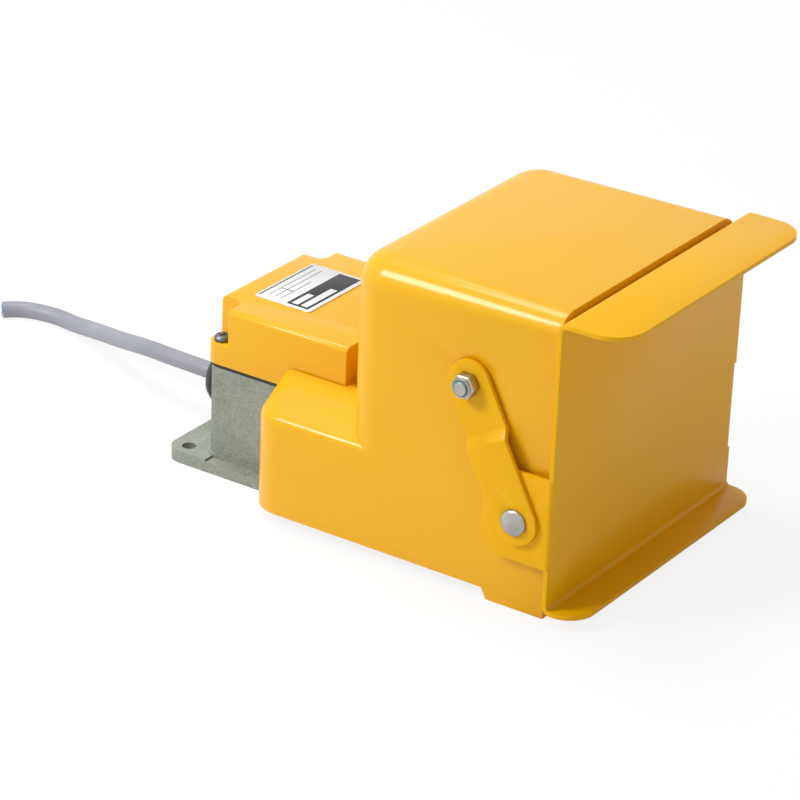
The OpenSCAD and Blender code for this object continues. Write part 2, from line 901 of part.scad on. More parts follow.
module pedal_casting() {
    arm_out_x = pedal_arm_x + pedal_arm_t;
    hub_r = shaft_d / 2 + 4.5;
    color([0.56, 0.60, 0.58])
        raised()
            difference() {
                union() {
                    translate([0, 0, pedal_low_z])
                        linear_extrude(pedal_t)
                            pedal_plan();
                    // Cross bar that carries the two side arms
                    translate([-arm_out_x, pedal_rear_y - 12, pedal_low_z])
                        cube([2 * arm_out_x, 12, pedal_t]);
                    for (sx = [-1, 1])
                        translate([sx * (pedal_arm_x + pedal_arm_t / 2), 0, 0])
                            across(pedal_arm_t)
                                union() {
                                    polygon([
                                        [pedal_rear_y - 12, pedal_low_z], [pedal_rear_y + 4, pedal_low_z],
                                        [shaft_y + 2, shaft_z - hub_r + 0.2], [shaft_y, shaft_z + hub_r],
                                        [shaft_y - 8, shaft_z + hub_r - 1], [pedal_rear_y - 12, pedal_top_z]
                                    ]);
                                    translate([shaft_y, shaft_z])
                                        circle(hub_r);
                                }
                    // Raised toe rim along the front edge
                    translate([-pedal_w / 2 + 9, pedal_front_y, pedal_low_z])
                        cube([pedal_w - 18, 3, pedal_t + 1.5]);
                }
                // Recess for the rubber mat
                translate([0, 0, pedal_top_z - mat_recess])
                    linear_extrude(2 * mat_t)
                        pedal_plan(3);
                // Weight-saving pockets underneath, with ribs left between them
                for (col = [-1, 0, 1], row = [0, 1])
                    translate([col * 20, pedal_front_y + 19 + row * 24, pedal_low_z - cut])
                        linear_extrude(2 + cut)
                            rounded_rect(15, 18, 3);
                at_mat_screws()
                    translate([0, 0, pedal_low_z - cut])
                        cylinder(h = pedal_t + 2 * cut, d = 3);
                bar_x(-arm_out_x - cut, arm_out_x + cut, shaft_d + 0.04, shaft_y, shaft_z);
            }
}

module pedal_mat() {
    mat_z = pedal_top_z - mat_recess;
    color([0.1, 0.1, 0.1])
        raised()
            difference() {
                union() {
                    translate([0, 0, mat_z])
                        linear_extrude(mat_t)
                            pedal_plan(3.2);
                    // Grip ribs across the mat
                    for (i = [0:6])
                        translate([-pedal_w / 2 + 12, pedal_front_y + 14 + i * 6, mat_z + mat_t - 0.2])
                            cube([pedal_w - 24, 2.4, 1]);
                }
                at_mat_screws()
                    translate([0, 0, mat_z - cut])
                        cylinder(h = mat_t + 2 * cut, d = 3.2);
                at_mat_screws()
                    translate([0, 0, mat_z + 1])
                        cylinder(h = mat_t + 2, d = 7);
            }
}

module mat_screws() {
    mat_z = pedal_top_z - mat_recess;
    color([0.62, 0.63, 0.65])
        raised()
            at_mat_screws()
                translate([0, 0, mat_z + 1])
                    pan_screw(3, 5);
}

module pedal_shaft() {
    color([0.7, 0.7, 0.72])
        difference() {
            bar_x(-shaft_half, shaft_half, shaft_d, shaft_y, shaft_z);
            for (sx = [-1, 1])
                difference() {
                    bar_x(sx * (shaft_half - 3.6), sx * (shaft_half - 2.3), shaft_d + 2, shaft_y, shaft_z);
                    bar_x(sx * (shaft_half - 4), sx * (shaft_half - 2), shaft_d - 2, shaft_y, shaft_z);
                }
        }
}

module shaft_clips() {
    color([0.45, 0.45, 0.47])
        for (sx = [-1, 1])
            difference() {
                bar_x(sx * (shaft_half - 3.5), sx * (shaft_half - 2.4), shaft_d + 7, shaft_y, shaft_z);
                bar_x(sx * (shaft_half - 4.5), sx * (shaft_half - 1.4), shaft_d - 1.9, shaft_y, shaft_z);
                // Open jaw of the clip
                translate([sx * (shaft_half - 3), shaft_y, shaft_z - shaft_d])
                    cube([4, shaft_d * 0.6, 2 * shaft_d], center = true);
            }
}

// ---------- shaft bearings ----------

module bush(sx) {
    x_in = case_w / 2 - boss_depth;
    color([0.72, 0.55, 0.25])
        difference() {
            union() {
                bar_x(sx * x_in, sx * (case_w / 2 - 3), 2 * bush_r, shaft_y, shaft_z);
                bar_x(sx * (x_in - bush_flange_t), sx * x_in, 2 * bush_r + 4, shaft_y, shaft_z);
            }
            bar_x(sx * (x_in - 3), sx * case_w / 2, shaft_d + 2 * run, shaft_y, shaft_z);
        }
}

module shaft_bush_left() {
    bush(-1);
}

module shaft_bush_right() {
    bush(1);
}

module shaft_seals() {
    section_r = (bush_r - shaft_d / 2) / 2 - run;
    color([0.06, 0.06, 0.06])
        for (sx = [-1, 1])
            translate([sx * (case_w / 2 - 1.5), shaft_y, shaft_z])
                rotate([0, 90, 0])
                    rotate_extrude()
                        translate([(bush_r + shaft_d / 2) / 2, 0])
                            circle(section_r, $fn = 24);
}

// ---------- switch ----------

module at_switch_holes() {
    for (dy = [-switch_hole_pitch / 2, switch_hole_pitch / 2])
        translate([0, switch_front_y + switch_len / 2 + dy, switch_z + 5])
            children();
}

module at_terminals() {
    for (i = [0, 1, 2])
        translate([0, switch_front_y + 8 + i * (switch_len - 16) / 2, switch_z + switch_h])
            children();
}

module microswitch_body() {
    color([0.12, 0.09, 0.07])
        difference() {
            union() {
                translate([-switch_w / 2, switch_front_y, switch_z])
                    cube([switch_w, switch_len, switch_h - 4]);
                // Stepped head that carries the three terminals
                at_terminals()
                    translate([-switch_w / 2 + 1, -5.5, -4 - cut])
                        cube([switch_w - 2, 11, 4 + cut]);
            }
            translate([0, plunger_y, switch_z - cut])
                cylinder(h = 13 + cut, d = plunger_d + 0.2);
            at_switch_holes()
                bar_x(-switch_w, switch_w, 4.2);
            at_terminals()
                translate([0, 0, -6])
                    cylinder(h = 8, d = 3.5);
        }
}

module switch_plunger() {
    color([0.85, 0.2, 0.15])
        translate([0, plunger_y, switch_z - plunger_out])
            cylinder(h = plunger_out + 9, d = plunger_d);
}

module switch_bracket() {
    y0 = switch_front_y + 6;
    y1 = switch_front_y + switch_len - 6;
    foot_z = ledge_t + 3;
    seat_z = spring_foot_z + spring_h;
    color([0.7, 0.71, 0.73])
        difference() {
            union() {
                translate([bracket_x, y0, foot_z])
                    cube([2, y1 - y0, switch_z + 11 - foot_z]);
                translate([bracket_x, y0, foot_z])
                    cube([15, y1 - y0, 2]);
                // Shelf that the return spring pushes against
                translate([bracket_x, spring_y - 8, seat_z])
                    cube([spring_x + 8 - bracket_x, 16, 2]);
            }
            at_switch_holes()
                bar_x(0, 3 * switch_w, 4.2);
            at_bracket_screws()
                cylinder(h = case_h, d = 4.5);
            // Window that the cam lever's spring arm passes through
            translate([bracket_x - cut, shaft_y - 2, foot_z + 6])
                cube([4, spring_y - shaft_y + 12, seat_z - foot_z - 9]);
        }
}

module bracket_screws() {
    color([0.62, 0.63, 0.65])
        at_bracket_screws()
            translate([0, 0, ledge_t + 5])
                pan_screw(4, 7);
}

module switch_screws() {
    color([0.62, 0.63, 0.65])
        at_switch_holes()
            translate([-switch_w / 2, 0, 0])
                rotate([0, -90, 0])
                    pan_screw(4, switch_w + 3);
}

module terminal_screws() {
    color([0.72, 0.6, 0.3])
        at_terminals()
            pan_screw(3.5, 5);
}

module cam_lever() {
    hub_r = shaft_d / 2 + 3.5;
    color([0.5, 0.51, 0.53])
        difference() {
            union() {
                bar_x(-6, spring_x + 6, 2 * hub_r, shaft_y, shaft_z);
                // Short lever under the plunger
                across(8)
                    union() {
                        polygon([
                            [shaft_y, shaft_z + hub_r], [shaft_y + hub_r, shaft_z],
                            [plunger_y + pad_r, pad_z], [plunger_y, pad_z + pad_r - 0.1]
                        ]);
                        translate([plunger_y, pad_z])
                            circle(pad_r);
                    }
                // Spring arm, with a flat round seat
                translate([spring_x, 0, 0])
                    across(10)
                        polygon([
                            [shaft_y, shaft_z + 1], [spring_y, spring_foot_z - 4],
                            [spring_y + 5, spring_foot_z - 4], [spring_y + 5, spring_foot_z],
                            [shaft_y + 4, spring_foot_z], [shaft_y, spring_foot_z]
                        ]);
                translate([spring_x, spring_y, spring_foot_z - 4])
                    cylinder(h = 4, d = spring_d + 2);
                translate([spring_x, spring_y, spring_foot_z])
                    cylinder(h = 3, d = spring_d - 5);
            }
            bar_x(-10, spring_x + 10, shaft_d + 0.04, shaft_y, shaft_z);
            translate([12, shaft_y, shaft_z - 2 * hub_r])
                cylinder(h = 2 * hub_r, d = 4);
        }
}

module cam_set_screw() {
    hub_r = shaft_d / 2 + 3.5;
    color([0.2, 0.2, 0.22])
        translate([12, shaft_y, shaft_z - hub_r + 0.4])
            difference() {
                cylinder(h = hub_r - shaft_d / 2 - 0.5, d = 3.9);
                translate([0, 0, -cut])
                    hex(2, 1.4 + cut);
            }
}

module return_spring() {
    wire = 1.6;
    turns = 5;
    steps = 14;
    mean_r = spring_d / 2 - wire / 2;
    rise = spring_h - wire - 0.2;
    color([0.75, 0.76, 0.78])
        translate([spring_x, spring_y, spring_foot_z + wire / 2 + 0.1])
            swept([for (i = [0:turns * steps])
                let (a = 360 * i / steps)
                [mean_r * cos(a), mean_r * sin(a), rise * i / (turns * steps)]], wire, n = 6);
}

module rubber_stops() {
    stop_h = pedal_low_z - ledge_t - 0.3;
    color([0.08, 0.08, 0.08])
        for (sx = [-1, 1])
            translate([sx * stop_x, stop_y, 0]) {
                translate([0, 0, ledge_t])
                    cylinder(h = stop_h, r = 7);
                translate([0, 0, 0.6])
                    cylinder(h = ledge_t, d = stop_stem_d - 0.1);
            }
}

// ---------- cable ----------

module gland_body() {
    color([0.07, 0.07, 0.08])
        difference() {
            union() {
                bar_y(case_rear_y - 9, case_rear_y + 1, 15.8, 0, gland_z);
                translate([0, case_rear_y + 6, gland_z])
                    rotate([90, 30, 0])
                        hex(gland_d - 2, 6);
                bar_y(case_rear_y + 5, case_rear_y + 13, 15, 0, gland_z);
            }
            bar_y(case_rear_y - 10, case_rear_y + 14, gland_bore, 0, gland_z);
            // Seat for the rubber seal
            bar_y(case_rear_y + 6, case_rear_y + 14, 12, 0, gland_z);
        }
}

module gland_cap() {
    color([0.07, 0.07, 0.08])
        translate([0, case_rear_y, gland_z])
            rotate([-90, 0, 0])
                rotate_extrude()
                    polygon([
                        [7.6, 6.2], [gland_d / 2 - 1, 6.2], [gland_d / 2, 7.2], [gland_d / 2, 20],
                        [gland_d / 2 - 2, 23], [gland_d / 2 - 6, gland_len], [gland_bore / 2, gland_len],
                        [gland_bore / 2, 16], [7.6, 14]
                    ]);
}

module gland_seal() {
    color([0.15, 0.15, 0.15])
        difference() {
            bar_y(case_rear_y + 6.1, case_rear_y + 14, 11.8, 0, gland_z);
            bar_y(case_rear_y + 5, case_rear_y + 15, gland_bore, 0, gland_z);
        }
}

module gland_locknut() {
    color([0.07, 0.07, 0.08])
        translate([0, case_rear_y - case_wall, gland_z])
            rotate([90, 30, 0])
                difference() {
                    hex(19, 4);
                    translate([0, 0, -cut])
                        cylinder(h = 6, d = 15.9);
                }
}

module cable_inner_end() {
    color([0.72, 0.72, 0.78])
        bar_y(case_rear_y - 14, gland_end_y, cable_d, 0, gland_z);
}

module switch_wires() {
    start_y = case_rear_y - 14;
    color([0.15, 0.3, 0.6])
        for (i = [0, 1, 2]) {
            x = (i - 1) * 2.2;
            side = -14 - (2 - i) * 2.5;
            end_y = switch_front_y + 8 + i * (switch_len - 16) / 2;
            top_z = switch_z + switch_h;
            swept([
                [x, start_y, gland_z], [x, start_y - 3, gland_z], [x - 2, start_y - 7, gland_z + 2],
                [side + 4, start_y - 10, gland_z + 6], [side, start_y - 12, gland_z + 14],
                [side, start_y - 13, top_z - 16], [side, end_y + 3, top_z - 6], [side + 1, end_y, top_z - 2],
                [-10, end_y, top_z + 2], [-4.4, end_y, top_z + 2.6]
            ], wire_d, ref = [0.6, 0.2, 1], n = 6);
        }
}

module earth_screw() {
    color([0.72, 0.6, 0.3])
        translate([earth_x, earth_y, ledge_t])
            pan_screw(4, 2.5);
}

module power_cord() {
    color([0.72, 0.72, 0.78])
        swept(cord_route, cable_d, n = 12);
}

base_casting();
base_gasket();
switch_cover();
cover_screws();
rating_plate();
hood();
hood_screws();
pivot_bolts();
pivot_nuts();
pivot_washers();
shaft_bush_left();
shaft_bush_right();
shaft_seals();
microswitch_body();
switch_bracket();
switch_screws();
terminal_screws();
bracket_screws();
gland_body();
gland_cap();
gland_seal();
gland_locknut();
cable_inner_end();
switch_wires();
earth_screw();
return_spring();
rubber_stops();
pedal_casting();
pedal_mat();
mat_screws();
pedal_shaft();
shaft_clips();
cam_lever();
cam_set_screw();
switch_plunger();
link_arm_left();
link_arm_right();
door_panel();
door_rivets();
power_cord();
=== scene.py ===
# %% [markdown]
# # A guarded foot switch, dressed in Blender
#
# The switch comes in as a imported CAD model: forty pieces, each in its place. This lesson gives them
# their finish, and models again the pieces whose looks a plain CAD solid can't carry: the cast hood,
# the bent door, the case cover, the lock nuts and the cable.

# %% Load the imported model
import math

import bpy
from mathutils import Matrix, Vector
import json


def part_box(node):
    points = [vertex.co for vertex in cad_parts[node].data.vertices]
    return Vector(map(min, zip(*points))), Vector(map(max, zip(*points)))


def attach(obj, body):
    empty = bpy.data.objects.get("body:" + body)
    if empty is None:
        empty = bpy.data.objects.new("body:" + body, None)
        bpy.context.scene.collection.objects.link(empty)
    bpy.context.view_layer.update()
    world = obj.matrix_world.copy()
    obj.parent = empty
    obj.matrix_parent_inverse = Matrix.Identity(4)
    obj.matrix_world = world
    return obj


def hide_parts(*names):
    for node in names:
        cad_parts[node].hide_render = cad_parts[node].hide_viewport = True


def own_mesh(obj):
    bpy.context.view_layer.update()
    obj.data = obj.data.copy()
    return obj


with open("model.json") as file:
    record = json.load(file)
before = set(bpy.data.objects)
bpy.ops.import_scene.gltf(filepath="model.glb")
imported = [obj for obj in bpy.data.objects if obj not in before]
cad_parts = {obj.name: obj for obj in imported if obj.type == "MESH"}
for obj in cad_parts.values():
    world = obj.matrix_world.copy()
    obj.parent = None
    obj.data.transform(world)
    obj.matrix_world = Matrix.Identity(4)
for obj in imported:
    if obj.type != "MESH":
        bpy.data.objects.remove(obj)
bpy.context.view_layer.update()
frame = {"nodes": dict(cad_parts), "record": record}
nodes = frame["nodes"]
mm = 0.001
bpy.ops.object.select_all(action="DESELECT")

# %% [markdown]
# ## The camera
#
# The view is from the front left and from above, through a long lens, as in a catalogue picture. A long
# lens keeps the hood's edges nearly parallel. The camera's axes are worked out from an azimuth, an
# elevation and a small roll.

# %% Place the camera
view_turn = math.radians(-56.804)
view_rise = math.radians(25.470)
view_roll = math.radians(2.433)
view_target = Vector((0, -5.255, 38.790)) * mm
view_distance = 1745.25 * mm

back = Vector((
    math.sin(view_turn) * math.cos(view_rise),
    -math.cos(view_turn) * math.cos(view_rise),
    math.sin(view_rise),
))
level_right = Vector((0, 0, 1)).cross(back).normalized()
level_up = back.cross(level_right)
right = level_right * math.cos(view_roll) + level_up * math.sin(view_roll)
up = level_up * math.cos(view_roll) - level_right * math.sin(view_roll)

lens = bpy.data.cameras.new("camera")
lens.lens = 176.18
lens.sensor_width = 36
lens.clip_end = 20
camera = bpy.data.objects.new("camera", lens)
bpy.context.scene.collection.objects.link(camera)
turned = Matrix((right, up, back)).transposed().to_4x4()
camera.matrix_world = Matrix.Translation(view_target + back * view_distance) @ turned
bpy.context.scene.camera = camera
print("camera stands at", camera.matrix_world.translation)

# %% [markdown]
# ## Shader maths as Python
#
# A procedural finish is a small sum: noise times something, plus something else. Wiring Math nodes by
# hand hides that sum. Here a `Wire` stands for one output socket and knows Python's operators, so
# `0.4 + speckle * 0.1` adds the nodes by itself. A `Finish` holds one material and makes every other node.


# %% The Wire and Finish classes
class Wire:
    """One output socket of a material's node tree."""

    def __init__(self, finish, socket):
        self.finish = finish
        self.socket = socket

    def maths(self, operation, first, second):
        settings = {"operation": operation}
        return self.finish.node("ShaderNodeMath", settings, {0: first, 1: second})

    def __add__(self, other):
        return self.maths("ADD", self, other)

    def __sub__(self, other):
        return self.maths("SUBTRACT", self, other)

    def __mul__(self, other):
        return self.maths("MULTIPLY", self, other)

    def __gt__(self, other):
        return self.maths("GREATER_THAN", self, other)

    def __lt__(self, other):
        return self.maths("LESS_THAN", self, other)

    __radd__ = __add__
    __rmul__ = __mul__


class Finish:
    """One material: its Principled shader, and a short way to add nodes."""

    def __init__(self, name, **fixed):
        self.material = bpy.data.materials.new(name)
        self.material.use_nodes = True
        self.tree = self.material.node_tree
        self.shader = self.tree.nodes["Principled BSDF"]
        self.set(fixed)

    def node(self, kind, settings=None, values=None, output=0):
        """Adds a node: first its settings, then its sockets' values or links."""
        made = self.tree.nodes.new(kind)
        for name, value in (settings or {}).items():
            if name == "stops":
                while len(made.color_ramp.elements) < len(value):
                    made.color_ramp.elements.new(0.5)
                for stop, (place, colour) in zip(made.color_ramp.elements, value):
                    stop.position = place
                    stop.color = colour
            else:
                setattr(made, name, value)
        for socket, value in (values or {}).items():
            self.join(made.inputs[socket], value)
        return Wire(self, made.outputs[output])

    def join(self, socket, value):
        if isinstance(value, Wire):
            self.tree.links.new(value.socket, socket)
        else:
            socket.default_value = value

    def set(self, values):
        """Sets the shader's own sockets; an underscore stands for a space in a name."""
        for name, value in values.items():
            self.join(self.shader.inputs[name.replace("_", " ")], value)

    def place(self):
        return self.node("ShaderNodeTexCoord", output="Object")

    def axis(self, name):
        """The X, Y or Z of a point, in metres."""
        return self.node("ShaderNodeSeparateXYZ", values={0: self.place()}, output=name)

    def noise(self, scale, detail=2.0, roughness=0.5, vector=None):
        values = {
            "Vector": vector or self.place(), "Scale": scale,
            "Detail": detail, "Roughness": roughness,
        }
        return self.node("ShaderNodeTexNoise", values=values)

    def stretched(self, x, y, z):
        """Object coordinates scaled by axis, so that a noise becomes streaks."""
        return self.node("ShaderNodeMapping", values={"Vector": self.place(), "Scale": (x, y, z)})

    def blend(self, share, first, second):
        """Mixes two colours."""
        settings = {"data_type": "RGBA"}
        return self.node("ShaderNodeMix", settings, {0: share, 6: first, 7: second}, output=2)

    def clamp(self, value, low, high):
        """Maps the stretch from low to high onto 0 to 1, and holds it there."""
        return self.node("ShaderNodeMapRange", values={"Value": value, "From Min": low, "From Max": high})

    def bump(self, height, distance):
        values = {"Height": height, "Distance": distance, "Strength": 1.0}
        return self.node("ShaderNodeBump", values=values)


def rgb(red, green, blue):
    return (red, green, blue, 1.0)


print("shader helpers are ready")

# %% [markdown]
# ## Edge wear and grime
#
# Paint thins and lightens in places, and dust clings to it. `Pointiness` would show that at the edges,
# but it depends on how dense the mesh is, so the paint here uses broad noise for its tone and a fine
# noise for its skin, which hold on every mesh.


# %% Yellow enamel, on castings and on sheet
def yellow_enamel(name, skin_scale, skin_depth, shine, lacquer):
    """Satin stoved enamel: an even golden yellow with a faint skin."""
    paint = Finish(name, Specular_IOR_Level=shine)
    drift = paint.noise(14, 3)
    tone = paint.blend(drift, rgb(0.80, 0.402, 0.001), rgb(0.85, 0.442, 0.002))
    specks = paint.clamp(paint.noise(900, 2), 0.70, 0.76)
    tone = paint.blend(specks * 0.35, tone, rgb(0.52, 0.22, 0.004))
    scuffs = paint.clamp(paint.noise(5, 6, 0.65, paint.stretched(1, 1.6, 4)), 0.60, 0.75)
    tone = paint.blend(scuffs * 0.10, tone, rgb(0.86, 0.54, 0.05))
    skin = paint.noise(skin_scale, 2)
    waves = paint.noise(60, 1)
    normal = paint.bump(skin * 0.7 + waves * 0.5, skin_depth)
    paint.set({
        "Base Color": tone,
        "Roughness": 0.34 + drift * 0.08 + scuffs * 0.08,
        "Normal": normal,
        "Coat Weight": lacquer,
        "Coat Roughness": 0.1,
    })
    return paint.material


casting_enamel = yellow_enamel("casting_enamel", 420, 0.00016, 0.2, 0.34)
sheet_enamel = yellow_enamel("sheet_enamel", 700, 0.00008, 0.1, 0.12)
print("enamel:", casting_enamel.name, sheet_enamel.name)

# %% [markdown]
# ## The bare casting
#
# The base is aluminium, sand-cast and shot-blasted: a dull grey with a greenish cast and a skin of tiny
# pits, whose colour is darker towards the middle of each pit. Its grain is a Voronoi cell for the pits
# over two sizes of noise.


# %% Cast aluminium
def cast_aluminium(name):
    metal = Finish(name, Metallic=0.55, IOR=1.5)
    patches = metal.noise(32, 4, 0.6)
    grain = metal.noise(700, 3, 0.6)
    pits = metal.node("ShaderNodeTexVoronoi", values={"Vector": metal.place(), "Scale": 620.0})
    tone = metal.blend(metal.clamp(patches, 0.3, 0.7), rgb(0.215, 0.235, 0.19), rgb(0.295, 0.317, 0.267))
    tone = metal.blend(metal.clamp(grain, 0.35, 0.75) * 0.45, tone, rgb(0.50, 0.53, 0.48))
    # the colour darkens towards each pit's middle, where the bump sinks the pit deepest
    tone = metal.blend(metal.clamp(pits, 0.25, 0.02) * 0.3, tone, rgb(0.16, 0.17, 0.15))
    height = grain * 0.6 + metal.clamp(pits, 0.0, 0.4) * 0.5 + patches * 0.6
    metal.set({
        "Base Color": tone,
        "Roughness": 0.52 + grain * 0.22,
        "Normal": metal.bump(height, 0.00035),
    })
    return metal.material


casting_metal = cast_aluminium("casting_metal")

# %% [markdown]
# ## Steel, plated and dark
#
# The nuts, rivets and screws are zinc-plated: bright, a little blue, with fine turning marks. Fine
# streaks across the pieces come from a noise that is stretched along one axis.


# %% Plated and oiled steel
def steel(name, dark, light, roughness, streaks=(1, 1, 18)):
    metal = Finish(name, Metallic=1.0)
    marks = metal.noise(260, 4, 0.6, metal.stretched(*streaks))
    blotch = metal.noise(90, 3)
    tone = metal.blend(metal.clamp(blotch, 0.35, 0.7), dark, light)
    metal.set({
        "Base Color": tone,
        "Roughness": roughness + marks * 0.16,
        "Normal": metal.bump(marks, 0.00006),
    })
    return metal.material


zinc_plate = steel("zinc_plate", rgb(0.36, 0.34, 0.32), rgb(0.50, 0.485, 0.47), 0.22)
oiled_steel = steel("oiled_steel", rgb(0.10, 0.10, 0.11), rgb(0.22, 0.22, 0.23), 0.34)
spring_steel = steel("spring_steel", rgb(0.46, 0.46, 0.48), rgb(0.66, 0.66, 0.68), 0.2, (18, 1, 1))
bush_bronze = steel("bush_bronze", rgb(0.42, 0.25, 0.11), rgb(0.62, 0.42, 0.20), 0.38)
terminal_brass = steel("terminal_brass", rgb(0.66, 0.46, 0.16), rgb(0.82, 0.64, 0.28), 0.24)
print("metals:", [m.name for m in (zinc_plate, oiled_steel, spring_steel, bush_bronze, terminal_brass)])

# %% [markdown]
# ## Rubber and plastics
#
# Moulded rubber is never black: it is a very dark grey with bloom, a pale dust that drifts over it. The
# cable's vinyl is smooth, with a soft shine.


# %% Rubber, nylon, phenolic and vinyl
def moulded(name, dark, light, roughness, grain_scale=500, grain_depth=0.00012, shine=0.4):
    plastic = Finish(name, Specular_IOR_Level=shine)
    bloom = plastic.noise(30, 4, 0.6)
    grain = plastic.noise(grain_scale, 3)
    plastic.set({
        "Base Color": plastic.blend(plastic.clamp(bloom, 0.35, 0.7), dark, light),
        "Roughness": roughness + bloom * 0.12,
        "Normal": plastic.bump(grain, grain_depth),
    })
    return plastic.material


black_rubber = moulded("black_rubber", rgb(0.016, 0.016, 0.016), rgb(0.040, 0.039, 0.037), 0.58)
gland_nylon = moulded("gland_nylon", rgb(0.012, 0.013, 0.016), rgb(0.026, 0.027, 0.031), 0.36)
phenolic = moulded("phenolic", rgb(0.030, 0.018, 0.012), rgb(0.060, 0.038, 0.025), 0.4)
red_moulding = moulded("red_moulding", rgb(0.45, 0.03, 0.02), rgb(0.55, 0.05, 0.03), 0.32)
cable_vinyl = moulded("cable_vinyl", rgb(0.260, 0.265, 0.305), rgb(0.320, 0.325, 0.37), 0.34, 260, 0.00008)
core_vinyl = moulded("core_vinyl", rgb(0.02, 0.10, 0.36), rgb(0.04, 0.14, 0.44), 0.34)
print("plastics:", [m.name for m in (black_rubber, gland_nylon, phenolic, cable_vinyl, core_vinyl)])

# %% [markdown]
# ## The rating plate
#
# The plate is a thin anodised foil: silver-white, with a printed black band across its front half. Its
# fields are left blank here. Band and fields are boxes in the plate's own coordinates, drawn by
# comparing X and Y with their edges.


# %% Printed foil
def printed_foil(name):
    low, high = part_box("rating_plate")
    foil = Finish(name, Metallic=0.35)
    x = foil.axis("X")
    y = foil.axis("Y")

    def field(x0, x1, y0, y1):
        """1 inside a box whose sides are shares of the plate's width and length."""
        left = low[0] + (high[0] - low[0]) * x0
        far = low[0] + (high[0] - low[0]) * x1
        near = low[1] + (high[1] - low[1]) * y0
        top = low[1] + (high[1] - low[1]) * y1
        return (x > left) * (x < far) * (y > near) * (y < top)

    brushed = foil.noise(300, 3, 0.6, foil.stretched(1, 14, 1))
    silver = foil.blend(brushed, rgb(0.74, 0.77, 0.80), rgb(0.86, 0.88, 0.90))
    band = field(0.04, 0.96, 0.07, 0.46) - field(0.08, 0.60, 0.12, 0.24)
    band = band - field(0.08, 0.36, 0.29, 0.40)
    rule = field(0.04, 0.96, 0.94, 0.97) + field(0.10, 0.90, 0.83, 0.845)
    rule = rule + field(0.10, 0.90, 0.72, 0.735)
    rule = rule + field(0.10, 0.62, 0.61, 0.625) + field(0.30, 0.315, 0.61, 0.83)
    print_mask = foil.clamp(band + rule, 0.0, 1.0)
    foil.set({
        "Base Color": foil.blend(print_mask, silver, rgb(0.025, 0.027, 0.035)),
        "Roughness": 0.34 + brushed * 0.1,
        "Normal": foil.bump(brushed, 0.00002),
    })
    return foil.material


plate_foil = printed_foil("plate_foil")

# %% [markdown]
# ## Which finish each slot takes
#
# Every CAD node names a material slot in its record. One table gives each slot its finish, and every
# node takes it from there, so a hidden screw is as finished as the hood.

# %% Dress the CAD nodes
slot_finish = {
    "cast_aluminium": casting_metal,
    "yellow_paint": casting_enamel,
    "yellow_sheet": sheet_enamel,
    "black_rubber": black_rubber,
    "zinc_steel": zinc_plate,
    "dark_steel": oiled_steel,
    "plate_foil": plate_foil,
    "bronze": bush_bronze,
    "brass": terminal_brass,
    "switch_moulding": phenolic,
    "plunger_moulding": red_moulding,
    "gland_nylon": gland_nylon,
    "cable_jacket": cable_vinyl,
    "wire_jacket": core_vinyl,
}
node_slot = {part["node"]: part["material_slot"] for part in frame["record"]["subparts"]}


def dress(piece, finish):
    piece.data.materials.clear()
    piece.data.materials.append(finish)


for node_name, node in nodes.items():
    dress(node, slot_finish[node_slot[node_name]])
print("dressed", len(nodes), "nodes in", len(slot_finish), "finishes")

# %% [markdown]
# ## Softening a CAD solid
#
# Cast and painted things have no sharp edges: every edge carries a thin line of light. A CAD solid
# arrives as loose triangles, so a copy of it is joined up, its flat faces are dissolved into single
# ones, chosen edges are rounded by hand, and a Bevel modifier then breaks all the edges left.


# %% Tools for shaping by hand
def activate(piece):
    bpy.ops.object.select_all(action="DESELECT")
    piece.select_set(True)
    bpy.context.view_layer.objects.active = piece


def joined_copy(node_name, name):
    """A copy of a CAD node with its triangles joined and its flat faces dissolved."""
    piece = bpy.data.objects.new(name, nodes[node_name].data.copy())
    bpy.context.scene.collection.objects.link(piece)
    activate(piece)
    bpy.ops.object.mode_set(mode="EDIT")
    bpy.ops.mesh.select_all(action="SELECT")
    bpy.ops.mesh.remove_doubles(threshold=0.00001)
    bpy.ops.mesh.customdata_custom_splitnormals_clear()
    bpy.ops.mesh.mark_sharp(clear=True)
    bpy.ops.mesh.dissolve_limited(angle_limit=math.radians(0.8))
    bpy.ops.object.mode_set(mode="OBJECT")
    return piece


def edge_angles(piece):
    """Each edge's middle, its angle in degrees, and whether it is an inside corner."""
    mesh = piece.data
    sides = {}
    for face in mesh.polygons:
        for key in face.edge_keys:
            sides.setdefault(key, []).append(face)
    found = {}
    for edge in mesh.edges:
        faces = sides.get(tuple(sorted(edge.vertices)), [])
        if len(faces) != 2:
            continue
        a, b = faces
        angle = math.degrees(a.normal.angle(b.normal, 0.0))
        start, end = (mesh.vertices[v].co for v in edge.vertices)
        inside = (b.center - a.center).dot(a.normal) > 0
        found[edge.index] = ((start + end) / 2, angle, inside, start, end)
    return found


def pick_edges(piece, test):
    """Selects the edges that pass a test, and goes into edit mode with them."""
    activate(piece)
    bpy.ops.object.mode_set(mode="EDIT")
    bpy.ops.mesh.select_mode(type="EDGE")
    bpy.ops.mesh.select_all(action="DESELECT")
    bpy.ops.object.mode_set(mode="OBJECT")
    picked = 0
    for index, facts in edge_angles(piece).items():
        if test(*facts):
            piece.data.edges[index].select = True
            picked += 1
    bpy.ops.object.mode_set(mode="EDIT")
    return picked


def round_edges(piece, radius, segments, test):
    picked = pick_edges(piece, test)
    if picked:
        bpy.ops.mesh.bevel(
            offset=radius, segments=segments, profile=0.5, affect="EDGES", clamp_overlap=True,
        )
    bpy.ops.object.mode_set(mode="OBJECT")
    return picked


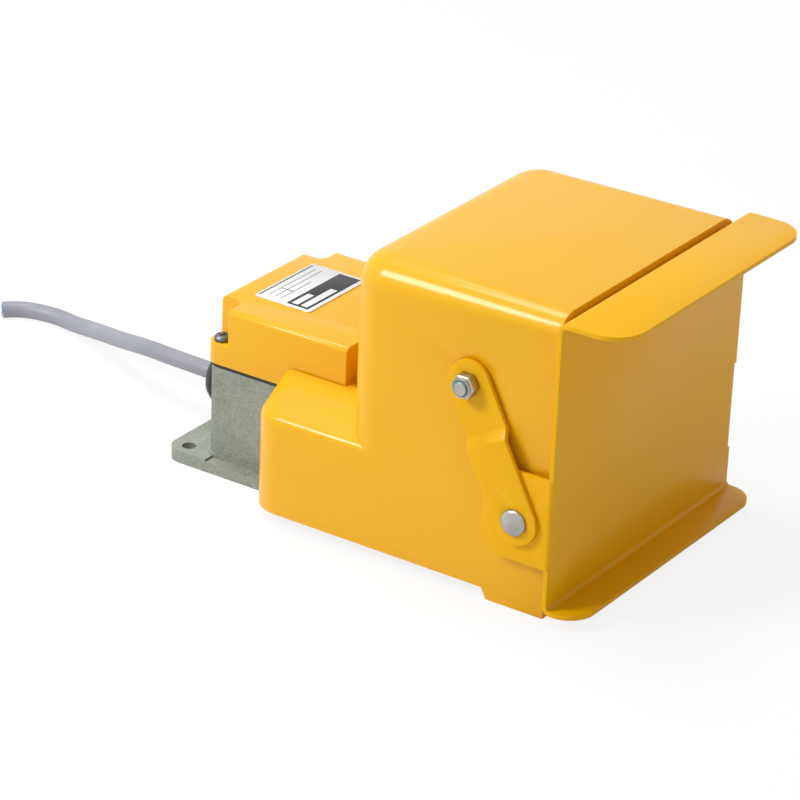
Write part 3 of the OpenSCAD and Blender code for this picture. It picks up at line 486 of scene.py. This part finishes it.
def finish_edges(piece, width, segments=2, sharp=32, shade=40):
    """Breaks every sharp edge by a small width and smooths the shading between."""
    activate(piece)
    rim = piece.modifiers.new("edges", "BEVEL")
    rim.width = width
    rim.segments = segments
    rim.limit_method = "ANGLE"
    rim.angle_limit = math.radians(sharp)
    rim.use_clamp_overlap = True
    rim.harden_normals = False
    bpy.ops.object.modifier_apply(modifier=rim.name)
    bpy.ops.object.shade_smooth_by_angle(angle=math.radians(shade))


def stands_for(piece, body, finish, *node_names):
    """Dresses a new piece, hangs it on its body, and hides the CAD nodes that it replaces."""
    if finish:
        dress(piece, finish)
    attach(piece, body)
    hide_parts(*node_names)


def soften(node_name, name, body, width, segments=2, sharp=32, shade=40):
    piece = joined_copy(node_name, name)
    finish_edges(piece, width, segments, sharp, shade)
    stands_for(piece, body, slot_finish[node_slot[node_name]], node_name)
    print(name, len(piece.data.polygons), "faces")
    return piece


print("shaping tools are ready")

# %% [markdown]
# ## The hood
#
# The hood is one hollow casting with two low shoulders beside the switch case. Its tall part meets the
# shoulders in a soft inside corner, because molten metal and the pattern maker's fillet both need one.
# The copy's inside corners there are picked by place and angle, and rounded with a wide bevel.

# %% Shape the hood
rear_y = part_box("switch_cover")[0][1] - 4.5 * mm
hood = joined_copy("hood", "cast_hood")


def shoulder_corner(middle, angle, inside, start, end):
    outside_wall = middle.y > rear_y - 19 * mm and middle.z > 48 * mm and middle.z < 66 * mm
    return inside and angle > 25 and outside_wall and middle.y < rear_y + 1.5 * mm


corner_edges = round_edges(hood, 4.5 * mm, 4, shoulder_corner)
finish_edges(hood, 0.7 * mm, 3, sharp=34, shade=50)
stands_for(hood, "housing", casting_enamel, "hood")
print("hood:", corner_edges, "inside corner edges,", len(hood.data.polygons), "faces")

# %% [markdown]
# ## The case and its cover
#
# The base is one aluminium casting: a floor plate, two ears and the switch case's four walls. The foot
# of each wall is filleted, and the plate's edges are rounded by the blasting.

# %% Shape the base
base = joined_copy("base_casting", "base_body")
case_low, case_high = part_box("base_gasket")


def wall_foot(middle, angle, inside, start, end):
    level = 4.5 * mm < middle.z < 6.5 * mm and abs(start.z - end.z) < 0.1 * mm
    beside = abs(abs(middle.x) - case_high[0]) < 1.2 * mm or abs(middle.x) < case_high[0]
    return inside and level and beside and angle > 60 and middle.y > case_low[1] - 1 * mm


foot_edges = round_edges(base, 2.2 * mm, 4, wall_foot)
finish_edges(base, 0.8 * mm, 3, sharp=34, shade=50)
stands_for(base, "housing", casting_metal, "base_casting")
print("base:", foot_edges, "foot edges,", len(base.data.polygons), "faces")

soften("base_gasket", "case_gasket", "housing", 0.3 * mm)
soften("cover_screws", "cover_screw_heads", "housing", 0.15 * mm, 2, 34, 50)

# %% [markdown]
# ## The case cover
#
# The cover is a deep cast lid. Its top edges have a wide round that shows as a bright line, each corner
# has a pocket for its screw, and the front of its top slopes down in a scoop under the hood. It is
# modelled as a pattern maker would: one block with rounded edges, from which loose core blocks are cut.

# %% Model the case cover
cover_low, cover_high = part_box("switch_cover")
pocket_side = 12.6 * mm
pocket_floor = cover_low[2] + 10 * mm
upright_radius = 6.5 * mm
top_radius = 3 * mm
pocket_radius = 5 * mm


def block(name, low, high):
    """A box between two corners, with its place in its mesh."""
    middle = [(a + b) / 2 for a, b in zip(low, high)]
    size = [b - a for a, b in zip(low, high)]
    bpy.ops.object.select_all(action="DESELECT")
    bpy.ops.mesh.primitive_cube_add(size=1, location=middle, scale=size)
    piece = bpy.context.object
    piece.name = name
    bpy.ops.object.transform_apply(location=True, rotation=True, scale=True)
    return piece


def cut_with(piece, core):
    """Cuts a core block out of a piece and throws the block away."""
    activate(piece)
    cut = piece.modifiers.new("core", "BOOLEAN")
    cut.operation = "DIFFERENCE"
    cut.solver = "EXACT"
    cut.object = core
    bpy.ops.object.modifier_apply(modifier=cut.name)
    bpy.data.objects.remove(core)


cover = block("case_cover", cover_low, cover_high)


def upright_edge(mid, angle, inside, a, b):
    return abs(a.z - b.z) > 20 * mm and angle > 60


def top_edge(mid, angle, inside, a, b):
    return mid.z > cover_high[2] - 0.1 * mm and angle > 60


round_edges(cover, upright_radius, 8, upright_edge)
top_loop = round_edges(cover, top_radius, 6, top_edge)

for side_x in (-1, 1):
    for side_y in (0, 1):
        edge_x = side_x * cover_high[0]
        edge_y = cover_high[1] if side_y else cover_low[1]
        in_x = edge_x - side_x * pocket_side
        in_y = edge_y - pocket_side if side_y else edge_y + pocket_side
        out_x = edge_x + side_x * 3 * mm
        out_y = edge_y + 3 * mm if side_y else edge_y - 3 * mm
        core = block(
            "core", (min(in_x, out_x), min(in_y, out_y), pocket_floor),
            (max(in_x, out_x), max(in_y, out_y), cover_high[2] + 5 * mm),
        )

        def inner_corner(mid, angle, inside, a, b):
            return abs(mid.x - in_x) < 0.1 * mm and abs(mid.y - in_y) < 0.1 * mm

        round_edges(core, pocket_radius, 8, inner_corner)
        cut_with(cover, core)
print("cover: top loop of", top_loop, "edges, four pockets cut")

# %% Cut the cover's scoop and its inside
scoop_len = 36 * mm
scoop_half = 23 * mm
scoop_depth = 8.9 * mm
inside_half = 39.5 * mm
inside_margin = pocket_side + 3 * mm
roof = 12 * mm
scoop_core = block(
    "core", (-scoop_half, cover_low[1] - 4 * mm, cover_high[2] - scoop_depth),
    (scoop_half, cover_low[1] + scoop_len, cover_high[2] + 5 * mm),
)


def ramp_end(mid, angle, inside, a, b):
    low_edge = abs(mid.z - (cover_high[2] - scoop_depth)) < 0.1 * mm
    return low_edge and abs(mid.y - (cover_low[1] + scoop_len)) < 0.1 * mm


pick_edges(scoop_core, ramp_end)
bpy.ops.transform.translate(value=(0, 0, scoop_depth))
bpy.ops.object.mode_set(mode="OBJECT")


def ramp_sides(mid, angle, inside, a, b):
    at_side = abs(abs(mid.x) - scoop_half) < 0.1 * mm
    return at_side and abs(a.z - b.z) > 2 * mm and abs(a.y - b.y) > 20 * mm


round_edges(scoop_core, 1.5 * mm, 4, ramp_sides)
cut_with(cover, scoop_core)
cut_with(cover, block(
    "core", (-inside_half, cover_low[1] + inside_margin, cover_low[2] - 1 * mm),
    (inside_half, cover_high[1] - inside_margin, cover_high[2] - roof),
))
finish_edges(cover, 0.5 * mm, 3, sharp=34, shade=45)
stands_for(cover, "housing", casting_enamel, "switch_cover")
print("cover:", len(cover.data.polygons), "faces")

# %% [markdown]
# ## Door and link arms
#
# The door is bent from 2 mm sheet, so its outer edges are only just broken, and its bends are round.
# Each arm has a joggle where it steps outwards past the door's wing.

# %% Shape the sheet-metal pieces
soften("door_panel", "door_sheet", "door", 0.35 * mm, 2, 34, 50)

for side in ("left", "right"):
    arm = joined_copy("link_arm_" + side, "link_arm_plate_" + side)

    def bend_line(middle, angle, inside, start, end):
        return 15 < angle < 75 and abs(start.x - end.x) < 0.05 * mm and (start - end).length > 12 * mm

    bends = round_edges(arm, 0.8 * mm, 3, bend_line)
    finish_edges(arm, 0.35 * mm, 2, sharp=34, shade=50)
    stands_for(arm, "arms", sheet_enamel, "link_arm_" + side)
    print(arm.name, "bend lines:", bends)
soften("door_rivets", "rivet_heads", "door", 0.35 * mm, 1, 34, 30)

# %% [markdown]
# ## Lock nuts
#
# Each pivot bolt carries a lock nut: a hexagon with chamfered corners, a narrower collar on its outer
# face, and in it a nylon ring that grips the bolt's thread. The nut is a six-sided cylinder shaped by an
# inset and an extrusion. The ring is a piece of its own.

# %% Model the lock nuts
nut_low, nut_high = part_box("pivot_nuts")
pivot = Vector((0, (nut_low[1] + nut_high[1]) / 2, (nut_low[2] + nut_high[2]) / 2))
hex_radius = max(nut_high[1] - nut_low[1], nut_high[2] - nut_low[2]) / 2
nut_face = nut_high[0]


def turned_part(name, x0, x1, radius, sides):
    """A cylinder along X on the pivot's axis, with its place in its mesh."""
    bpy.ops.mesh.primitive_cylinder_add(
        vertices=sides, radius=radius, depth=x1 - x0,
        location=((x0 + x1) / 2, pivot.y, pivot.z), rotation=(0, math.radians(90), 0),
    )
    piece = bpy.context.object
    piece.name = name
    bpy.ops.object.transform_apply(location=True, rotation=True, scale=True)
    return piece


def pick_faces(piece, test):
    """Selects the faces that pass a test, and goes into edit mode with them."""
    activate(piece)
    bpy.ops.object.mode_set(mode="EDIT")
    bpy.ops.mesh.select_mode(type="FACE")
    bpy.ops.mesh.select_all(action="DESELECT")
    bpy.ops.object.mode_set(mode="OBJECT")
    for face in piece.data.polygons:
        face.select = test(face.center, face.normal)
    picked = sum(face.select for face in piece.data.polygons)
    bpy.ops.object.mode_set(mode="EDIT")
    return picked


def outward(centre, normal):
    return normal.x > 0.9


def mirrored(piece, name):
    """The same piece on the other side, with its own mesh."""
    activate(piece)
    bpy.ops.object.duplicate()
    twin = bpy.context.object
    twin.name = name
    twin.scale.x = -1
    bpy.ops.object.transform_apply(location=False, rotation=False, scale=True)
    bpy.ops.object.mode_set(mode="EDIT")
    bpy.ops.mesh.select_all(action="SELECT")
    bpy.ops.mesh.normals_make_consistent(inside=False)
    bpy.ops.object.mode_set(mode="OBJECT")
    return twin


hexagon = turned_part("lock_nut_right", nut_face - 6 * mm, nut_face - 1.5 * mm, hex_radius, 6)
pick_faces(hexagon, outward)
bpy.ops.mesh.inset(thickness=0.9 * mm)
bpy.ops.transform.translate(value=(0.5 * mm, 0, 0))
bpy.ops.object.mode_set(mode="OBJECT")
finish_edges(hexagon, 0.25 * mm, 2, sharp=20, shade=30)

collar = turned_part("nut_collar_right", nut_face - 1.8 * mm, nut_face, hex_radius * 0.78, 40)
pick_faces(collar, outward)
bpy.ops.mesh.inset(thickness=0.7 * mm)
bpy.ops.mesh.extrude_region_move(TRANSFORM_OT_translate={"value": (-0.5 * mm, 0, 0)})
bpy.ops.object.mode_set(mode="OBJECT")
finish_edges(collar, 0.2 * mm, 3, sharp=30, shade=40)

bpy.ops.mesh.primitive_torus_add(
    major_radius=3.35 * mm, minor_radius=0.5 * mm, major_segments=40, minor_segments=10,
    location=(nut_face - 0.45 * mm, pivot.y, pivot.z), rotation=(0, math.radians(90), 0),
)
nylon = bpy.context.object
nylon.name = "nylon_ring_right"
bpy.ops.object.transform_apply(location=True, rotation=True, scale=True)
finish_edges(nylon, 0.02 * mm, 1, sharp=80, shade=60)
print("lock nut:", len(hexagon.data.polygons), len(collar.data.polygons), len(nylon.data.polygons), "faces")

# %% [markdown]
# The bolt runs through hood, arm and nut, and its end stands one thread proud. It keeps its CAD shape
# with a chamfered end. The other side's nut is a mirrored copy with its normals turned out again.

# %% Finish the bolts and place both nuts
soften("pivot_bolts", "pivot_bolt_bodies", "housing", 0.5 * mm, 2, 40, 45)
nut_nylon = moulded("nut_nylon", rgb(0.10, 0.22, 0.24), rgb(0.16, 0.30, 0.30), 0.35)
parts_of_nut = (
    (hexagon, "lock_nut_left", zinc_plate), (collar, "nut_collar_left", zinc_plate),
    (nylon, "nylon_ring_left", nut_nylon),
)
for piece, twin_name, finish in parts_of_nut:
    twin = mirrored(piece, twin_name)
    for one in (piece, twin):
        dress(one, finish)
        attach(one, "housing")
        "gland_nylon" if piece == nylon else "zinc_steel"
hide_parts("pivot_nuts")
print("nuts stand at", [round(v, 4) for v in pivot])

# %% [markdown]
# ## The remaining visible solids
#
# The cable gland, the pedal behind the door and its rubber mat take the same softening. Small hidden
# pieces keep their CAD mesh and only get their finish.

# %% Soften the gland, the pedal and the fittings
soften("gland_cap", "gland_dome", "housing", 0.3 * mm, 2, 30, 45)
soften("gland_body", "gland_hexagon", "housing", 0.3 * mm, 2, 30, 45)
soften("pedal_casting", "pedal_body", "pedal", 0.8 * mm, 2, 34, 45)
soften("pedal_mat", "pedal_rubber", "pedal", 0.4 * mm, 2, 34, 45)
soften("hood_screws", "hood_screw_heads", "housing", 0.15 * mm, 2, 34, 45)
soften("rating_plate", "rating_foil", "housing", 0.08 * mm, 1, 34, 45)

# %% [markdown]
# ## The return spring
#
# A coil spring stands over the cam lever inside the case. As the pedal goes down, the lever rises and
# presses it flat towards its seat under the switch's bracket. Here it is a smooth-shaded copy of its CAD
# coil, with a mesh of its own.

# %% Copy the spring and give it its own mesh
spring = joined_copy("return_spring", "spring_coil")
bpy.ops.object.shade_smooth_by_angle(angle=math.radians(50))
stands_for(spring, "housing", spring_steel, "return_spring")
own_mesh(spring)

# %% [markdown]
# ## The cable
#
# The lead is a short length of stiff round cable with a plain cut end. It leaves the gland straight,
# sinks to the floor in a long slope and turns a little at its end. A curve with a round bevel is a cable
# already, so the work is only in its points: a short list, rounded by a Catmull-Rom spline.

# %% The cable's route
cable_d = 8 * mm
cord_route = [
    (0, 96, 22.4), (0, 102, 22.4), (3, 122, 21), (9, 143, 18), (17, 165, 13), (26, 186, 8),
    (32, 204, 4.4), (34, 218, 4), (32, 231, 4), (28.6, 238, 4), (23.8, 242.9, 4),
]


def rounded(points, steps=3):
    """A Catmull-Rom curve through a list of points."""
    curve = []
    ends = [points[0]] + points + [points[-1]]
    for i in range(1, len(ends) - 2):
        p0, p1, p2, p3 = ends[i - 1:i + 3]
        for k in range(steps):
            t = k / steps
            curve.append(0.5 * (
                2 * p1 + (p2 - p0) * t + (2 * p0 - 5 * p1 + 4 * p2 - p3) * t * t
                + (3 * p1 - p0 - 3 * p2 + p3) * t ** 3
            ))
    curve.append(points[-1])
    return curve


route = rounded([Vector(p) * mm for p in cord_route])
cord_length = sum((b - a).length for a, b in zip(route, route[1:]))
print("cable:", round(cord_length, 4), "m in", len(route), "points")


# %% Make the cable
def tube(name, points, diameter, finish, smooth=10):
    """A cable: a curve of one spline with a round section and closed ends."""
    data = bpy.data.curves.new(name, "CURVE")
    data.dimensions = "3D"
    data.bevel_depth = diameter / 2
    data.bevel_resolution = smooth
    data.use_fill_caps = True
    spline = data.splines.new("POLY")
    spline.points.add(len(points) - 1)
    for spot, p in zip(spline.points, points):
        spot.co = (*p, 1)
        spot.radius = 1
    spline.use_smooth = True
    data.materials.append(finish)
    made = bpy.data.objects.new(name, data)
    bpy.context.scene.collection.objects.link(made)
    return made


cable = tube("cable", route, cable_d, cable_vinyl, smooth=8)
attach(cable, "housing")
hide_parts("power_cord")

# The cut end shows the sheath's wall, the filler and three cores
end_way = (route[-1] - route[-2]).normalized()
end_turn = end_way.to_track_quat("Z", "Y")
for i in range(3):
    around = math.radians(120 * i + 30)
    offset = end_turn @ Vector((1.75 * mm * math.cos(around), 1.75 * mm * math.sin(around), -0.05 * mm))
    bpy.ops.mesh.primitive_cylinder_add(vertices=24, radius=1.35 * mm, depth=0.5 * mm)
    core = bpy.context.object
    core.name = f"core_end_{i + 1}"
    core.rotation_euler = end_turn.to_euler()
    core.location = route[-1] + offset
    bpy.ops.object.transform_apply(location=True, rotation=True, scale=True)
    finish_edges(core, 0.08 * mm, 1)
    dress(core, core_vinyl)
    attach(core, "housing")

# %% [markdown]
# ## Floor and light
#
# The setting is plain: a white floor, a soft lamp from the left and behind that draws the bright lines
# along the rounded edges, a large one overhead, and a pale world that fills the shadows. The floor
# glows a little for the camera and for reflections, so that it stays white beside the lit pieces.

# %% Floor, lamps and world
bpy.ops.mesh.primitive_plane_add(size=6, location=(0, 0, 0))
floor = bpy.context.object
floor.name = "floor"
sheet = Finish("floor_white", Roughness=0.9, Specular_IOR_Level=0.0)
sheet.set({"Base Color": rgb(0.90, 0.90, 0.90)})
paths = sheet.tree.nodes.new("ShaderNodeLightPath")
camera_ray = Wire(sheet, paths.outputs["Is Camera Ray"])
glossy_ray = Wire(sheet, paths.outputs["Is Glossy Ray"])
seen = camera_ray * 0.85 + glossy_ray * 0.45
glow = sheet.node("ShaderNodeEmission", values={"Color": rgb(1, 1, 1), "Strength": 1.0})
plain = Wire(sheet, sheet.shader.outputs[0])
mixed = sheet.node("ShaderNodeMixShader", values={0: seen, 1: plain, 2: glow})
sheet.tree.links.new(mixed.socket, sheet.tree.nodes["Material Output"].inputs["Surface"])
dress(floor, sheet.material)

world = bpy.data.worlds.new("studio")
world.use_nodes = True
sky = world.node_tree.nodes["Background"]
sky.inputs["Color"].default_value = rgb(1, 1, 1)
paths = world.node_tree.nodes.new("ShaderNodeLightPath")
level = world.node_tree.nodes.new("ShaderNodeMapRange")
level.inputs["To Min"].default_value = 0.41
level.inputs["To Max"].default_value = 1.0
seen = world.node_tree.nodes.new("ShaderNodeMath")
seen.operation = "MAXIMUM"
world.node_tree.links.new(paths.outputs["Is Camera Ray"], seen.inputs[0])
world.node_tree.links.new(paths.outputs["Is Glossy Ray"], seen.inputs[1])
world.node_tree.links.new(seen.outputs[0], level.inputs["Value"])
world.node_tree.links.new(level.outputs[0], sky.inputs["Strength"])
bpy.context.scene.world = world


def soft_lamp(name, place, aim, size, power):
    lamp = bpy.data.lights.new(name, "AREA")
    lamp.size = size
    lamp.energy = power
    holder = bpy.data.objects.new(name, lamp)
    bpy.context.scene.collection.objects.link(holder)
    holder.location = place
    holder.rotation_euler = (Vector(aim) - Vector(place)).to_track_quat("-Z", "Y").to_euler()
    return holder


soft_lamp("key_lamp", (-1.08, 0.89, 1.18), (0, 0, 0.05), 0.5, 17.0)
soft_lamp("top_lamp", (0.1, 0.5, 1.9), (0, 0, 0.05), 0.8, 19.0)
bpy.context.scene.view_settings.view_transform = "Standard"

# %% The last import
import json
